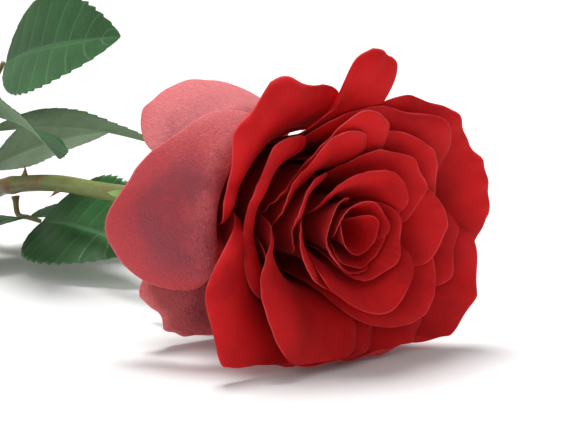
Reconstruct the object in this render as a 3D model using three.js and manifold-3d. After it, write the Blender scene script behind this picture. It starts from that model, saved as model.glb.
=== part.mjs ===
// Cut rose lying on a surface: a many-petalled bloom on its hip, five sepals, a stem with
// prickles and three compound leaves. Millimetres, +Z up. The bloom's axis is level and points
// along +X; the stem runs towards -X. The origin is at the bottom centre of the whole rose.
//
// Petals are laid out round the bloom's axis: `at` is an angle round it in degrees (0 is up,
// 90 is +Y), r the distance from it and h the height above the hip's seat. Every petal lies on
// one leaf of a nested family of cups numbered 0 (the heart) to 1 (the outside), so petals on
// different layers stay apart wherever they pass behind each other.

import * as THREE from 'three';
import * as BufferGeometryUtils from 'three/addons/utils/BufferGeometryUtils.js';
import Module from 'manifold-3d';

// ---------------------------------------------------------------- driving dimensions
const BLOOM_DIAMETER = 80;
const PETAL_THICKNESS = 0.5;
const CLAW_THICKNESS = 0.14;     // petals thin towards the seat, where they crowd
const OPEN_AT = -80;             // the side to which the bloom has opened most, degrees
const OPEN_MORE = 0.7;           // how much more it has opened there
const HIP_RADIUS = 6.6;
const HIP_LENGTH = 15;
const STEM_RADIUS = 2.7;         // at the hip
const STEM_END_RADIUS = 3.2;     // at the cut
const STEM_LENGTH = 232;         // hip to cut, along the bloom's axis
const PRICKLE_HEIGHT = 5;
const PRICKLE_RADIUS = 2;
const LEAF_THICKNESS = 0.6;
const STALK_RADIUS = 1.1;        // leaf stalk, at the stem
const STALK_TIP_RADIUS = 0.8;
const SEPAL_LENGTH = 32;
const SEPAL_WIDTH = 6.5;
const GAP = 0.3;                 // clearance between pieces that touch

// ---------------------------------------------------------------- what follows from them
const BLOOM_SCALE = BLOOM_DIAMETER / 80;       // the petal table is for a bloom 80 across
const AXIS_HEIGHT = 35.5 * BLOOM_SCALE;        // bloom's axis above the surface
const SEAT_INNER = 2;                          // radius at which the heart petal starts
const SEAT_OUTER = HIP_RADIUS + 3 * GAP;       // radius at which the outside petals start
const SEAT_STEP = 4;                           // the heart starts this much higher

const wasm = await Module();
wasm.setup();

// ---------------------------------------------------------------- colours and finishes
const finish = (color, roughness) =>
  new THREE.MeshStandardMaterial({ color, roughness, metalness: 0 });
const petalRed = finish(0xc01c20, 0.6);
const guardPink = finish(0xc8606a, 0.65);
const stemGreen = finish(0x6d7a3a, 0.55);
const sepalGreen = finish(0x6f9048, 0.6);
const leafGreen = finish(0x2f5a2c, 0.45);

// ---------------------------------------------------------------- small helpers
const radians = THREE.MathUtils.degToRad;
const vec = (x, y, z) => new THREE.Vector3(x, y, z);
const mix = THREE.MathUtils.lerp;
const smooth = (from, to, x) => THREE.MathUtils.smoothstep(x, from, to);

// Value at u (-1 to 1) on a smooth curve through evenly spaced values.
function along(values, u) {
  const last = values.length - 1;
  const x = (u + 1) / 2 * last;
  const i = Math.max(0, Math.min(Math.floor(x), last - 1));
  const f = x - i;
  const b = values[i];
  const c = values[i + 1];
  const a = i === 0 ? 2 * b - c : values[i - 1];
  const d = i === last - 1 ? 2 * c - b : values[i + 2];
  return b + 0.5 * f * (c - a + f * (2 * a - 5 * b + 4 * c - d + f * (3 * (b - c) + d - a)));
}

// Closed thin solid round a middle surface pointAt(u, v), u in -1..1 and v in 0..1. spread sets
// the rows of u, evenly if left out.
function sheetGeometry(pointAt, thicknessAt, across, up, spread = (u) => u) {
  const step = 1e-3;
  const rows = across + 1;
  const columns = up + 1;
  const sides = [[], []];
  for (let i = 0; i < rows; i++) {
    for (let j = 0; j < columns; j++) {
      const u = spread(-1 + 2 * i / across);
      const v = (j / up) ** 1.2;
      const alongU = pointAt(u + step, v).sub(pointAt(u - step, v));
      const alongV = pointAt(u, v + step).sub(pointAt(u, Math.max(v - step, 0)));
      const normal = alongU.cross(alongV).normalize().multiplyScalar(thicknessAt(u, v) / 2);
      sides[0].push(pointAt(u, v).add(normal));
      sides[1].push(pointAt(u, v).sub(normal));
    }
  }
  const count = rows * columns;
  const at = (side, i, j) => side * count + i * columns + j;
  const index = [];
  const quad = (a, b, c, d) => index.push(a, b, c, a, c, d);
  for (let i = 0; i < across; i++) {
    for (let j = 0; j < up; j++) {
      quad(at(0, i, j), at(0, i + 1, j), at(0, i + 1, j + 1), at(0, i, j + 1));
      quad(at(1, i, j), at(1, i, j + 1), at(1, i + 1, j + 1), at(1, i + 1, j));
    }
    quad(at(0, i, 0), at(1, i, 0), at(1, i + 1, 0), at(0, i + 1, 0));
    quad(at(0, i + 1, up), at(1, i + 1, up), at(1, i, up), at(0, i, up));
  }
  for (let j = 0; j < up; j++) {
    quad(at(0, 0, j + 1), at(1, 0, j + 1), at(1, 0, j), at(0, 0, j));
    quad(at(0, across, j), at(1, across, j), at(1, across, j + 1), at(0, across, j + 1));
  }
  const geometry = new THREE.BufferGeometry();
  const places = sides.flat().flatMap((p) => [p.x, p.y, p.z]);
  geometry.setAttribute('position', new THREE.Float32BufferAttribute(places, 3));
  geometry.setIndex(index);
  return geometry;
}

// Merged positions only, as manifold needs them.
function toSolid(geometry) {
  const bare = geometry.clone();
  bare.deleteAttribute('normal');
  bare.deleteAttribute('uv');
  const merged = BufferGeometryUtils.mergeVertices(bare, 1e-5);
  return new wasm.Manifold(new wasm.Mesh({
    numProp: 3,
    vertProperties: new Float32Array(merged.attributes.position.array),
    triVerts: new Uint32Array(merged.index.array),
  }));
}

function toGeometry(solid) {
  const mesh = solid.getMesh();
  const geometry = new THREE.BufferGeometry();
  geometry.setAttribute('position', new THREE.Float32BufferAttribute(mesh.vertProperties, 3));
  geometry.setIndex(Array.from(mesh.triVerts));
  return geometry;
}

const rose = new THREE.Group();
rose.name = 'cut_rose';

function addNode(name, geometry, material) {
  const mesh = new THREE.Mesh(geometry, material);
  mesh.name = name;
  rose.add(mesh);
  return mesh;
}

// ---------------------------------------------------------------- petals
// Angle from the bloom's axis, in degrees, at arc length s up a petal on a layer: it leaves the
// seat nearly level, turns up into a cup and opens outwards again towards the rim.
function slope(petal, layer, phi, roll, s, end) {
  const bowl = 5 + 25 * layer;
  const level = 30 + 62 * layer;
  const upright = -3 + 13 * layer;
  const facing = 0.5 + 0.5 * Math.cos(radians(phi - OPEN_AT));
  const opening = (12 + 34 * layer) * (1 + OPEN_MORE * facing) * (petal.fold ? 0.2 : 1);
  const reach = 50 + 16 * layer;
  let angle = upright + (level - upright) * (1 - Math.min(s / bowl, 1)) ** 1.6;
  angle += opening * smooth(0.45 * reach, reach, s);
  angle += roll * smooth(end - 9, end + 3, s);
  if (petal.fold) angle += petal.fold.turn * smooth(petal.fold.from, petal.fold.to, s);
  return radians(angle);
}

// Distance from the axis and height at arc length s, by adding up short steps.
function profile(petal, layer, phi, roll, s, end) {
  const steps = 48;
  const step = s / steps * BLOOM_SCALE;
  let r = mix(SEAT_INNER, SEAT_OUTER, layer);
  let h = SEAT_STEP * (1 - layer);
  for (let k = 0; k < steps; k++) {
    const angle = slope(petal, layer, phi, roll, s * (k + 0.5) / steps, end);
    r += Math.sin(angle) * step;
    h += Math.cos(angle) * step;
  }
  return { r, h };
}

// Heights under SOFT_HEIGHT are squeezed so that petals rest on the surface without crossing.
const SOFT_HEIGHT = 7;
const REST_HEIGHT = 0.5;           // middle of the lowest petal's thickness
function rest(z) {
  const low = z + AXIS_HEIGHT - REST_HEIGHT;
  if (low >= SOFT_HEIGHT) return z;
  return SOFT_HEIGHT * Math.exp((low - SOFT_HEIGHT) / SOFT_HEIGHT) - AXIS_HEIGHT + REST_HEIGHT;
}

// A petal's corners are rounded off, and a neck narrows the one that curls.
const ROUND_OFF = 0.45;            // share of its length that a petal loses at its corners
const NECK_AT = 0.8;               // where the curled petal narrows, as a share of its length
function petalPoint(petal, u, v) {
  const body = Math.sqrt(1 - Math.min(Math.abs(u), 1) ** 5);
  const end = along(petal.rim, u) * mix(1 - ROUND_OFF, 1, body);
  const layer = along(petal.layer, u);
  const roll = along(petal.roll, u) * body;
  const claw = Math.min(petal.claw, petal.half);
  const neck = 1 - petal.neck * Math.exp(-(((v - NECK_AT) / 0.07) ** 2));
  const half = mix(claw, petal.half, smooth(0, 0.45, v)) * neck;
  const phi = petal.at + half * u + petal.sway * smooth(0.6, 1, v);
  const { r, h } = profile(petal, layer, phi, roll, v * end, end);
  return vec(h, r * Math.sin(radians(phi)), rest(r * Math.cos(radians(phi))));
}

function addPetal(name, petal) {
  const full = { roll: [0, 0], sway: 0, neck: 0, ...petal };
  const thickness = (u, v) => mix(CLAW_THICKNESS, PETAL_THICKNESS, smooth(0, 0.45, v));
  const across = Math.max(8, Math.round(full.half / 6.5));
  const closerAtEdges = (u) => Math.sin(u * Math.PI / 2);
  const pointAt = (u, v) => petalPoint(full, u, v);
  const geometry = sheetGeometry(pointAt, thickness, across, 8, closerAtEdges);
  addNode(name, geometry, full.fold ? guardPink : petalRed);
}

// at: middle of the petal round the axis; half, claw: half its width, above the seat and at it,
// in degrees; layer: from edge to edge; rim: its lengths from edge to edge; roll: how far the last
// 9 mm turn outwards, from edge to edge; sway: how far its end leans round the axis; neck: how much
// it narrows before its end; fold: how far it folds back, and between which lengths.
const same = (value) => [value, value];
const PETALS = {
  petal_heart_1: { at: 150, half: 170, claw: 170, layer: [0.02, 0.04, 0.075], rim: [56, 50, 48, 50, 55],
    roll: same(2) },
  petal_heart_2: { at: 10, half: 120, claw: 80, layer: same(0.115), rim: [54, 50, 50, 51, 55],
    roll: same(4) },
  petal_heart_3: { at: 160, half: 110, claw: 75, layer: same(0.158), rim: [53, 49, 49, 50, 54] },
  petal_heart_4: { at: -110, half: 110, claw: 70, layer: same(0.198), rim: [53, 50, 51, 50, 54] },
  petal_heart_5: { at: 125, half: 100, claw: 60, layer: same(0.235), rim: [52, 52, 53, 52, 52],
    roll: same(6) },
  petal_inner_1: { at: 15, half: 85, claw: 50, layer: same(0.29), rim: [44, 53, 57, 55, 46],
    roll: same(12) },
  petal_inner_2: { at: 165, half: 90, claw: 50, layer: same(0.34), rim: [42, 55, 60, 55, 44],
    roll: same(18) },
  petal_inner_3: { at: -125, half: 72, claw: 45, layer: same(0.4), rim: [40, 48, 50, 48, 42],
    roll: same(10) },
  petal_inner_4: { at: -70, half: 65, claw: 42, layer: same(0.45), rim: [36, 42, 47, 50, 44],
    roll: same(10) },
  petal_inner_5: { at: 45, half: 60, claw: 40, layer: same(0.491), rim: [44, 54, 58, 54, 44],
    roll: same(15) },
  petal_middle_1: { at: 90, half: 55, claw: 36, layer: same(0.545), rim: [44, 56, 60, 56, 44],
    roll: same(15) },
  petal_middle_2: { at: -40, half: 62, claw: 38, layer: same(0.56), rim: [34, 42, 50, 58, 52],
    roll: same(15) },
  petal_middle_3: { at: 140, half: 58, claw: 34, layer: same(0.6), rim: [44, 58, 62, 56, 44],
    roll: same(20) },
  petal_middle_4: { at: -25, half: 60, claw: 35, layer: same(0.61), rim: [34, 41, 51, 62, 54],
    roll: same(20) },
  petal_middle_5: { at: 50, half: 52, claw: 33, layer: same(0.675), rim: [44, 56, 60, 56, 44],
    roll: same(15) },
  petal_middle_6: { at: -135, half: 62, claw: 34, layer: same(0.675), rim: [50, 64, 66, 54, 42],
    roll: [16, 16, 6, -8] },
  petal_middle_7: { at: -152, half: 60, claw: 33, layer: same(0.73), rim: [48, 62, 67, 56, 42],
    roll: [20, 20, 10, -10] },
  petal_middle_8: { at: 105, half: 45, claw: 32, layer: same(0.762), rim: [44, 58, 62, 58, 44],
    roll: same(15) },
  petal_outer_1: { at: -74, half: 60, claw: 30, layer: same(0.795), rim: [54, 52, 46, 47, 50, 54, 52],
    roll: [60, 66, 40, 30, 20] },
  petal_outer_2: { at: 30, half: 52, claw: 30, layer: same(0.844), rim: [40, 48, 53, 58, 64, 62, 48],
    roll: [20, 20, 8] },
  petal_outer_3: { at: 168, half: 50, claw: 30, layer: same(0.806), rim: [44, 62, 66, 62, 44],
    roll: same(20) },
  petal_outer_4: { at: 125, half: 47, claw: 26, layer: same(0.892), rim: [46, 66, 70, 66, 46],
    roll: same(14) },
  petal_outer_5: { at: -128, half: 50, claw: 28, layer: same(0.91), rim: [48, 66, 70, 62, 44],
    roll: [30, 30, 60] },
  petal_curl: { at: -4, half: 15, claw: 12, layer: same(0.905), rim: [62, 68, 69, 67, 60],
    roll: [50, 45, 70], sway: 16, neck: 0.6 },
  petal_outer_6: { at: 74, half: 56, claw: 56, layer: same(0.973), rim: [62, 66, 69, 66, 46],
    roll: same(20) },
  petal_outer_7: { at: -38, half: 51, claw: 51, layer: same(0.99),
    rim: [43, 46, 50, 57, 61, 62, 57, 57, 50], roll: [45, 50, 45, 15] },
  petal_guard_1: { at: -57, half: 46, claw: 28, layer: same(1.06), rim: [68, 72, 65, 56, 52], sway: -14,
    fold: { turn: 130, from: 33, to: 45 } },
  petal_guard_2: { at: -16, half: 44, claw: 22, layer: same(1.15), rim: [40, 46, 45, 40, 35],
    fold: { turn: 145, from: 12, to: 27 } },
  petal_guard_3: { at: 112, half: 52, claw: 26, layer: same(1.1), rim: [50, 58, 60, 57, 50],
    fold: { turn: 112, from: 24, to: 40 } },
  petal_guard_4: { at: -128, half: 44, claw: 24, layer: same(1.22), rim: [34, 38, 37, 31, 26],
    fold: { turn: 75, from: 10, to: 30 } },
};
for (const [name, petal] of Object.entries(PETALS)) addPetal(name, petal);

// ---------------------------------------------------------------- hip and sepals
// Turned about the bloom's axis; the top is flat, just under the petals' claws.
function hipGeometry() {
  const outline = [
    [0, -HIP_LENGTH], [STEM_RADIUS, -HIP_LENGTH], [STEM_RADIUS + 0.6, -0.86 * HIP_LENGTH],
    [0.75 * HIP_RADIUS, -0.7 * HIP_LENGTH], [0.97 * HIP_RADIUS, -0.45 * HIP_LENGTH],
    [HIP_RADIUS, -0.28 * HIP_LENGTH], [0.96 * HIP_RADIUS, -0.12 * HIP_LENGTH],
    [HIP_RADIUS - 0.8, -2 * GAP], [0, -2 * GAP],
  ].map(([r, h]) => new THREE.Vector2(r, h));
  return new THREE.LatheGeometry(outline, 12).rotateZ(-Math.PI / 2);
}
addNode('hip', hipGeometry(), sepalGreen);

// A sepal leaves the hip's shoulder and bends back towards the stem.
const SEPAL_TURN = [112, 150];     // angle from the axis at its base and at its tip
function sepalPoint(at, u, v) {
  const steps = 24;
  const length = v * SEPAL_LENGTH;
  let r = HIP_RADIUS + GAP + LEAF_THICKNESS;
  let h = -0.3 * HIP_LENGTH;
  for (let k = 0; k < steps; k++) {
    const angle = radians(mix(SEPAL_TURN[0], SEPAL_TURN[1], v * (k + 0.5) / steps));
    r += Math.sin(angle) * length / steps;
    h += Math.cos(angle) * length / steps;
  }
  const half = SEPAL_WIDTH / 2 * Math.max(1 - v, 0) ** 0.7 * (0.8 + 0.9 * v) + 0.25;
  const phi = radians(at);
  const across = half * u;
  return vec(h + 0.12 * across * u, r * Math.sin(phi) + across * Math.cos(phi),
    r * Math.cos(phi) - across * Math.sin(phi));
}
const SEPALS_AT = [-20, -82, -145, 142, 62];
SEPALS_AT.forEach((at, i) => {
  const geometry = sheetGeometry((u, v) => sepalPoint(at, u, v), () => LEAF_THICKNESS, 2, 6);
  addNode(`sepal_${i + 1}`, geometry, sepalGreen);
});

// ---------------------------------------------------------------- stem and leaf stalks
// Closed round tube along a smooth path, its radius changing evenly from end to end.
function tubeGeometry(points, radiusFrom, radiusTo, sides, steps) {
  const path = new THREE.CatmullRomCurve3(points);
  const frames = path.computeFrenetFrames(steps);
  const places = [];
  for (let i = 0; i <= steps; i++) {
    const centre = path.getPointAt(i / steps);
    const radius = mix(radiusFrom, radiusTo, i / steps);
    for (let k = 0; k < sides; k++) {
      const turn = 2 * Math.PI * k / sides;
      places.push(...centre.clone()
        .addScaledVector(frames.normals[i], radius * Math.cos(turn))
        .addScaledVector(frames.binormals[i], radius * Math.sin(turn)));
    }
  }
  const first = places.length / 3;
  places.push(...path.getPointAt(0), ...path.getPointAt(1));
  const index = [];
  for (let i = 0; i < steps; i++) {
    for (let k = 0; k < sides; k++) {
      const next = (k + 1) % sides;
      const [a, b] = [i * sides + k, i * sides + next];
      index.push(a, b, b + sides, a, b + sides, a + sides);
    }
  }
  for (let k = 0; k < sides; k++) {
    const next = (k + 1) % sides;
    index.push(first, next, k, first + 1, steps * sides + k, steps * sides + next);
  }
  const geometry = new THREE.BufferGeometry();
  geometry.setAttribute('position', new THREE.Float32BufferAttribute(places, 3));
  geometry.setIndex(index);
  return geometry;
}

// Points of the stem: share of its length, side shift, and fall as a share of the bloom axis's
// height. The cut end rests on the surface.
const STEM_START = HIP_LENGTH + GAP;
const STEM_SHAPE = [
  [0, 0, 0], [0.13, 0.5, -0.07], [0.3, 0, -0.13], [0.48, 1.5, -0.18], [0.63, 0, -0.31], [0.8, 2, -0.58],
];
const stemPoints = STEM_SHAPE.map(([share, y, fall]) =>
  vec(-mix(STEM_START, STEM_LENGTH, share), y, fall * AXIS_HEIGHT));
stemPoints.push(vec(-STEM_LENGTH, -2, -AXIS_HEIGHT + STEM_END_RADIUS));
const stemCurve = new THREE.CatmullRomCurve3(stemPoints);

// Place on the stem at a share of its length from the hip.
function stemAt(share) {
  return {
    centre: stemCurve.getPointAt(share),
    tangent: stemCurve.getTangentAt(share),
    radius: mix(STEM_RADIUS, STEM_END_RADIUS, share),
  };
}

// A prickle is a flattened cone that leans back along the stem.
const PRICKLE_ROOT = 1.5;            // how deep its foot is sunk in the stem
function prickleSolid(share, around) {
  const { centre, tangent, radius } = stemAt(share);
  const turn = radians(around);
  const out = vec(0, Math.sin(turn), Math.cos(turn));
  const lean = out.clone().addScaledVector(tangent, 0.35).normalize();
  const cone = new THREE.ConeGeometry(PRICKLE_RADIUS, PRICKLE_HEIGHT + PRICKLE_ROOT, 6);
  cone.translate(0, (PRICKLE_HEIGHT + PRICKLE_ROOT) / 2, 0).scale(0.5, 1, 1.2);
  const side = vec(0, 0, 0).crossVectors(lean, tangent).normalize();
  const forward = vec(0, 0, 0).crossVectors(side, lean);
  cone.applyMatrix4(new THREE.Matrix4().makeBasis(side, lean, forward));
  const base = centre.clone().addScaledVector(out, radius - PRICKLE_ROOT);
  cone.translate(base.x, base.y, base.z);
  return toSolid(cone);
}
const PRICKLES = [
  [0.1, 150], [0.21, -35], [0.32, 95], [0.44, -130], [0.57, 20], [0.78, 140], [0.91, -60],
];
let stemSolid = toSolid(tubeGeometry(stemPoints, STEM_RADIUS, STEM_END_RADIUS, 8, 30));
for (const [share, around] of PRICKLES) {
  stemSolid = stemSolid.add(prickleSolid(share, around));
}
addNode('stem', toGeometry(stemSolid), stemGreen);

// ---------------------------------------------------------------- leaves
// A leaflet's midrib arches from base to tip; its halves fold up a little from it. Width swells
// from a round base and narrows to a point.
function leafletPoint(leaflet, u, v) {
  const { base, tip, half, up, arch, fold } = leaflet;
  const chord = tip.clone().sub(base);
  const across = vec(0, 0, 0).crossVectors(up, chord).normalize();
  const lift = vec(0, 0, 0).crossVectors(chord, across).normalize();
  const width = half * Math.sin(Math.PI * Math.min(v, 1) ** 0.82) ** 0.8 + 0.35;
  return base.clone()
    .addScaledVector(chord, v)
    .addScaledVector(lift, arch * Math.sin(Math.PI * v) + fold * Math.abs(u) * width)
    .addScaledVector(across, u * width);
}

// Each leaf: where it leaves the stem (share of its length, angle round it), its stalk's further
// points and its leaflets, from the tip backwards: place on the stalk (0 to 1), tip, half width,
// upward side, arch. Points are [along the stem, sideways] from where it leaves, and the height
// above the surface.
const LEAVES = {
  upper: {
    from: [0.665, -60],
    stalk: [[8, -7, 40.5], [20, -12, 58.5], [34, -13, 71.5]],
    leaflets: [
      [1, [96, -3, 82.5], 18, [0.12, -0.8, 0.4], 3],
      [0.55, [83, -19, 43.5], 13, [-0.3, 0.55, 0.75], 3],
      [0.4, [50, 40, 40.5], 14, [-0.3, 0.1, 0.9], 4],
      [0.25, [31, -52, 49.5], 13, [0, 0.3, 0.9], 4],
      [0.12, [6, 46, 41.5], 14, [-0.6, 0.35, 0.6], 3],
    ],
  },
  lower: {
    from: [0.605, 165],
    stalk: [[2, 1, 14.5], [8, 2, 14], [15, 3, 13.5]],
    leaflets: [
      [1, [82, 6, 12.5], 21, [0.05, -0.6, 0.75], 3],
      [0.6, [28, -51, 3.5], 15, [0, -0.15, 0.95], 4],
      [0.55, [26, 53, 3.5], 16, [0, 0.1, 0.95], 4],
    ],
  },
  rear: {
    from: [0.825, -95],
    stalk: [[9, -17, 18.5], [21, -29, 15.5], [32, -39, 10.5]],
    leaflets: [
      [1, [58, -78, 3.5], 15, [0, 0.1, 0.95], 4],
      [0.75, [51, -21, 4.5], 12, [0, 0, 1], 3],
      [0.7, [11, -75, 3.5], 13, [0, 0.1, 1], 4],
      [0.3, [-17, -49, 4.5], 12, [0, 0, 1], 3],
    ],
  },
};
for (const [name, leaf] of Object.entries(LEAVES)) {
  const { centre, radius } = stemAt(leaf.from[0]);
  const place = ([x, y, height]) => vec(centre.x + x, centre.y + y, height - AXIS_HEIGHT);
  const turn = radians(leaf.from[1]);
  const out = vec(0, Math.sin(turn), Math.cos(turn));
  const start = centre.clone().addScaledVector(out, radius + STALK_RADIUS + GAP);
  const points = [start, ...leaf.stalk.map(place)];
  const stalk = tubeGeometry(points, STALK_RADIUS, STALK_TIP_RADIUS, 6, 10);
  addNode(`leafstalk_${name}`, stalk, stemGreen);
  const path = new THREE.CatmullRomCurve3(points);
  leaf.leaflets.forEach(([share, tip, half, up, arch], i) => {
    const foot = path.getPointAt(share);
    const clear = STALK_RADIUS + GAP + LEAF_THICKNESS;
    const end = place(tip);
    const base = foot.clone().addScaledVector(end.clone().sub(foot).normalize(), clear);
    const leaflet = { base, tip: end, half, up: vec(...up), arch, fold: 0.22 };
    const blade = sheetGeometry((u, v) => leafletPoint(leaflet, u, v), () => LEAF_THICKNESS, 4, 6);
    addNode(`leaflet_${name}_${i + 1}`, blade, leafGreen);
  });
}

// ---------------------------------------------------------------- origin
// Bottom centre of the whole rose.
const whole = new THREE.Box3().setFromObject(rose, true);
const middle = whole.getCenter(vec(0, 0, 0));
rose.position.set(-middle.x, -middle.y, -whole.min.z);

export default rose;
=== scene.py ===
"""Cut rose lying on a pale table: ruffled petals, sepals, hip, prickly stem and toothed leaves."""
from math import cos, pi, radians, sin

import bpy
import numpy as np
from bpy.props import FloatProperty, FloatVectorProperty, PointerProperty
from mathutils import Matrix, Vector


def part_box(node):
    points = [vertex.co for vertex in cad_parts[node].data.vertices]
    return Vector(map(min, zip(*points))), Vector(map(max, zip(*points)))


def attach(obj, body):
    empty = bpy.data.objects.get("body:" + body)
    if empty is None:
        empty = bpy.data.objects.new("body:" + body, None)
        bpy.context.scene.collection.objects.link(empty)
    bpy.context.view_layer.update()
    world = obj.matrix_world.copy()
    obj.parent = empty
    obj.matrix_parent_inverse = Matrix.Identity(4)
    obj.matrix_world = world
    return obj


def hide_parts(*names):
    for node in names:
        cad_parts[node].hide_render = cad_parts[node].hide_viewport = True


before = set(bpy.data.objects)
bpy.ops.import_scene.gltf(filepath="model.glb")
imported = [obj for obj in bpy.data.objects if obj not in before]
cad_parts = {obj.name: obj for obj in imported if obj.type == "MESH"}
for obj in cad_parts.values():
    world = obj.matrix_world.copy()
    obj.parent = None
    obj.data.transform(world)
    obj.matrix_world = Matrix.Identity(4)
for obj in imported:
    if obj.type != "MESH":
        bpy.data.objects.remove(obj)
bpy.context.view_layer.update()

bl_info = {
    "name": "Cut rose",
    "version": (1, 0, 0),
    "blender": (4, 5, 0),
    "location": "3D View > Sidebar > Rose",
    "description": "Builds a cut rose lying on a table: bloom, hip, sepals, stem and leaves",
    "category": "Add Mesh",
}

MM = 0.001
GAP = 0.3                                  # clearance between pieces that touch, mm

# The bloom's seat is the middle of the hip's top. Every length below is in millimetres from it,
# X along the bloom's axis, and the table lies AXIS_HEIGHT under it.
HIP_LOW, HIP_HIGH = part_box("hip")
SEAT = Vector((HIP_HIGH.x + 2 * GAP * MM, (HIP_LOW.y + HIP_HIGH.y) / 2, (HIP_LOW.z + HIP_HIGH.z) / 2))
AXIS_HEIGHT = SEAT.z / MM
HIP_RADIUS = (HIP_HIGH.y - HIP_LOW.y) / 2 / MM
HIP_LENGTH = (SEAT.x - HIP_LOW.x) / MM
STEM_LENGTH = (SEAT.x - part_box("stem")[0].x) / MM


# ---------------------------------------------------------------- numbers over a surface
def smooth(low, high, x):
    """0 below low, 1 above high, and a cubic ease between."""
    t = np.clip((x - low) / (high - low), 0, 1)
    return t * t * (3 - 2 * t)


def mix(a, b, t):
    """a at t = 0 and b at t = 1, straight between."""
    return a + (b - a) * t


def along(values, u):
    """Smooth curve through evenly spaced values, read at u in -1..1 (Catmull-Rom)."""
    v = np.asarray(values, float)
    last = len(v) - 1
    x = (u + 1) / 2 * last
    i = np.clip(np.floor(x).astype(int), 0, last - 1)
    f = x - i
    b, c = v[i], v[i + 1]
    a = np.where(i == 0, 2 * b - c, v[np.maximum(i - 1, 0)])
    d = np.where(i == last - 1, 2 * c - b, v[np.minimum(i + 2, last)])
    return b + 0.5 * f * (c - a + f * (2 * a - 5 * b + 4 * c - d + f * (3 * (b - c) + d - a)))


def grid(across, up):
    """u in -1..1 down the rows and v in 0..1 along the columns."""
    return np.meshgrid(np.linspace(-1, 1, across + 1), np.linspace(0, 1, up + 1), indexing="ij")


def unit(a):
    """Vectors of length 1."""
    return a / (np.linalg.norm(a, axis=-1, keepdims=True) + 1e-12)


def normals(points):
    """Unit normals of a grid of points: slope across crossed with slope along."""
    return unit(np.cross(np.gradient(points, axis=0), np.gradient(points, axis=1)))


def waves(rng, x, count, low, high):
    """Sum of sines of x with random pitch (low to high), phase and falling strength, about 1."""
    total = np.zeros_like(x)
    for k in range(count):
        pitch, phase = rng.uniform(low, high), rng.uniform(0, 2 * pi)
        total = total + np.sin(pitch * x + phase) / (1 + 0.5 * k)
    return total / (1 + 0.4 * count)


# ---------------------------------------------------------------- meshes
def shell(points, thickness):
    """Closed thin solid: two copies of a grid pushed half the thickness along its normals, one
    each way, and walls round their edges. Returns points, faces and the side each point is on
    (0 towards the normal, 1 away from it)."""
    rows, columns = points.shape[:2]
    push = normals(points) * thickness[..., None] / 2
    both = np.concatenate([(points + push).reshape(-1, 3), (points - push).reshape(-1, 3)])
    n = rows * columns
    at = np.arange(n).reshape(rows, columns)
    a, b, c, d = at[:-1, :-1], at[1:, :-1], at[1:, 1:], at[:-1, 1:]
    top = np.stack([a, b, c, d], -1).reshape(-1, 4)
    under = top[:, ::-1] + n
    ring = np.concatenate([at[:-1, 0], at[-1, :-1], at[1:, -1][::-1], at[0, 1:][::-1]])
    nxt = np.roll(ring, -1)
    wall = np.stack([nxt, ring, ring + n, nxt + n], -1)
    side = np.repeat([0.0, 1.0], n)
    return both, np.concatenate([top, under, wall]), side


def skin(rings):
    """Closed skin over rings of points that follow each other, capped by its two end points."""
    count, around = rings.shape[:2]
    at = np.arange(count * around).reshape(count, around)
    a, b = at[:-1], at[1:]
    quads = np.stack([a, np.roll(a, -1, 1), np.roll(b, -1, 1), b], -1).reshape(-1, 4)
    ends = np.stack([rings[0].mean(0), rings[-1].mean(0)])
    first = count * around
    cap0 = np.stack([np.roll(at[0], -1), at[0], np.full(around, first)], -1)
    cap1 = np.stack([at[-1], np.roll(at[-1], -1), np.full(around, first + 1)], -1)
    return np.concatenate([rings.reshape(-1, 3), ends]), [*quads.tolist(), *cap0.tolist(), *cap1.tolist()]


def piece(name, points, faces, material, replaced, attributes=None, uv=None):
    """A finished mesh object in the part's own frame, in metres, riding on the one body."""
    mesh = bpy.data.meshes.new(name)
    place = np.asarray(points) * MM + np.array(SEAT)
    mesh.from_pydata(place, [], faces if isinstance(faces, list) else faces.tolist())
    for label, values in (attributes or {}).items():
        kind = "FLOAT" if np.ndim(values) == 1 else "FLOAT_VECTOR"
        layer = mesh.attributes.new(label, kind, "POINT")
        field = "value" if kind == "FLOAT" else "vector"
        layer.data.foreach_set(field, np.ravel(values).astype(np.float32))
    if uv is not None:
        corners = np.empty(len(mesh.loops), np.int32)
        mesh.loops.foreach_get("vertex_index", corners)
        mesh.uv_layers.new(name="UVMap").data.foreach_set("uv", uv[corners].astype(np.float32).ravel())
    mesh.polygons.foreach_set("use_smooth", np.ones(len(mesh.polygons), bool))
    mesh.materials.append(material)
    mesh.update()
    item = bpy.data.objects.new(name, mesh)
    bpy.context.scene.collection.objects.link(item)
    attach(item, "root")
    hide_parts(*replaced)
    return item


# ---------------------------------------------------------------- shader arithmetic
class Wire:
    """A socket that takes part in Python arithmetic by adding Math nodes."""

    def __init__(self, shop, socket):
        self.shop, self.socket = shop, socket

    def _math(self, operation, a, b):
        return self.shop.node("ShaderNodeMath", {"operation": operation}, {0: a, 1: b})

    def __add__(self, other): return self._math("ADD", self, other)
    def __radd__(self, other): return self._math("ADD", other, self)
    def __sub__(self, other): return self._math("SUBTRACT", self, other)
    def __rsub__(self, other): return self._math("SUBTRACT", other, self)
    def __mul__(self, other): return self._math("MULTIPLY", self, other)
    def __rmul__(self, other): return self._math("MULTIPLY", other, self)
    def __pow__(self, other): return self._math("POWER", self, other)


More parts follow.
